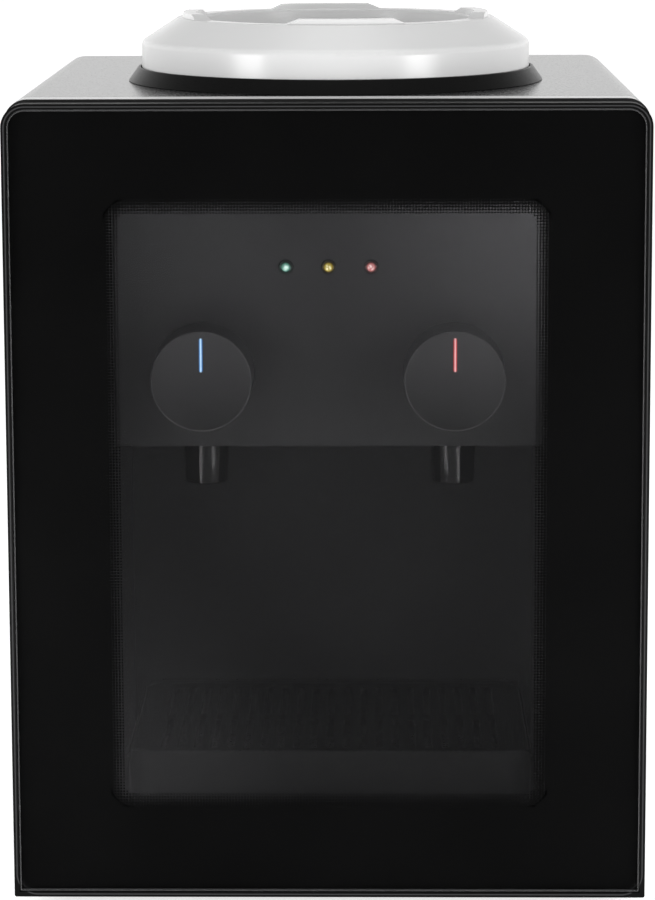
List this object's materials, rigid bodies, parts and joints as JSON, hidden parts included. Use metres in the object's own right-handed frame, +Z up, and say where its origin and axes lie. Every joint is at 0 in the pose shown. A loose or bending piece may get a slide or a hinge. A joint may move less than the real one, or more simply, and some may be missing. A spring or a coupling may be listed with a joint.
{
  "type": "countertop water dispenser",
  "caption": "Countertop hot and cold water dispenser with a hinged tinted-glass front door, turning tap knobs, a drip tray and a lift-out white bottle seat on top.",
  "frame": {"origin": "on the floor under the middle of the body's width and depth", "axes": "+Z up, -Y out of the front door, +X to the viewer's right when facing the front"},
  "size_m": [0.3, 0.302, 0.422],
  "materials": {
    "gloss_black": "gloss",
    "satin_black": "satin",
    "textured_black": "fine moulded texture",
    "tinted_glass": "polished, black printed border",
    "white_plastic": "gloss",
    "natural_plastic": "satin",
    "black_rubber": "matt",
    "silicone": "translucent matt",
    "stainless": "brushed",
    "zinc_steel": "plated",
    "magnet_black": "epoxy coated",
    "aluminium": "milled",
    "ceramic": "matt",
    "foam": "foam",
    "brass": "turned",
    "green_lens": "clear tinted",
    "yellow_lens": "clear tinted",
    "red_lens": "clear tinted",
    "blue_mark": "painted",
    "red_mark": "painted",
    "circuit_board": "solder resist"
  },
  "bodies": {
    "cabinet": {"housing_shell": "gloss_black", "front_bezel": "gloss_black", "base_tray": "textured_black", "feet": "black_rubber", "back_panel": "textured_black", "case_screws": "zinc_steel", "door_striker": "zinc_steel", "hinge_brackets": "zinc_steel", "hinge_pins": "zinc_steel", "control_fascia": "satin_black", "cup_bay_liner": "satin_black", "valve_body_cold": "natural_plastic", "valve_body_hot": "natural_plastic", "nozzle_cold": "gloss_black", "nozzle_hot": "gloss_black", "tap_nuts": "brass", "lamp_green": "green_lens", "lamp_yellow": "yellow_lens", "lamp_red": "red_lens", "lamp_holders": "gloss_black", "lamp_board": "circuit_board", "top_ring": "gloss_black", "seat_gasket": "silicone", "cold_tank": "stainless", "cold_insulation": "foam", "cold_block": "aluminium", "peltier_module": "ceramic", "heat_sink": "aluminium", "fan_frame": "textured_black", "hot_tank": "stainless", "band_heater": "stainless", "hot_insulation": "foam", "thermostats": "zinc_steel", "tank_bracket": "zinc_steel", "hose_cold": "silicone", "hose_hot": "silicone", "hose_feed": "silicone", "hose_drain": "silicone", "hose_clamps": "zinc_steel", "drain_spout": "textured_black", "power_board": "circuit_board", "power_inlet": "textured_black", "switch_bodies": "textured_black"},
    "door": {"door_frame": "gloss_black", "door_glass": "tinted_glass", "door_magnet": "magnet_black"},
    "tap_cold": {"knob_cold": "satin_black", "pointer_cold": "blue_mark", "spindle_cold": "brass"},
    "tap_hot": {"knob_hot": "satin_black", "pointer_hot": "red_mark", "spindle_hot": "brass"},
    "tray": {"drip_tray": "satin_black"},
    "grille": {"drip_grille": "satin_black"},
    "seat": {"bottle_seat": "white_plastic", "bottle_probe": "white_plastic"},
    "fan": {"fan_rotor": "textured_black"},
    "cap": {"drain_cap": "textured_black"},
    "rocker_heat": {"rocker_heat": "red_mark"},
    "rocker_cool": {"rocker_cool": "satin_black"}
  },
  "joints": [
    {"name": "door_hinge", "type": "hinge", "parent": "cabinet", "child": "door", "pos_m": [-0.146, -0.1436, 0.2], "axis": [0, 0, -1], "range_deg": [0, 90]},
    {"name": "cold_tap_turn", "type": "hinge", "parent": "cabinet", "child": "tap_cold", "pos_m": [-0.06, -0.116, 0.2535], "axis": [0, 1, 0], "range_deg": [0, 90]},
    {"name": "hot_tap_turn", "type": "hinge", "parent": "cabinet", "child": "tap_hot", "pos_m": [0.06, -0.116, 0.2535], "axis": [0, 1, 0], "range_deg": [0, 90]},
    {"name": "tray_lift", "type": "slide", "parent": "cabinet", "child": "tray", "axis": [0, 0, 1], "range_m": [0, 0.05]},
    {"name": "grille_lift", "type": "slide", "parent": "tray", "child": "grille", "axis": [0, 0, 1], "range_m": [0, 0.04]},
    {"name": "seat_lift", "type": "slide", "parent": "cabinet", "child": "seat", "axis": [0, 0, 1], "range_m": [0, 0.06]},
    {"name": "fan_spin", "type": "hinge", "parent": "cabinet", "child": "fan", "pos_m": [0, 0.109, 0.285], "axis": [0, 1, 0], "continuous": true},
    {"name": "cap_unscrew", "type": "slide", "parent": "cabinet", "child": "cap", "axis": [0, 1, 0], "range_m": [0, 0.015]},
    {"name": "heat_switch", "type": "hinge", "parent": "cabinet", "child": "rocker_heat", "pos_m": [-0.1, 0.138, 0.198], "axis": [1, 0, 0], "range_deg": [-16, 0]},
    {"name": "cool_switch", "type": "hinge", "parent": "cabinet", "child": "rocker_cool", "pos_m": [-0.07, 0.138, 0.198], "axis": [1, 0, 0], "range_deg": [-16, 0]}
  ]
}
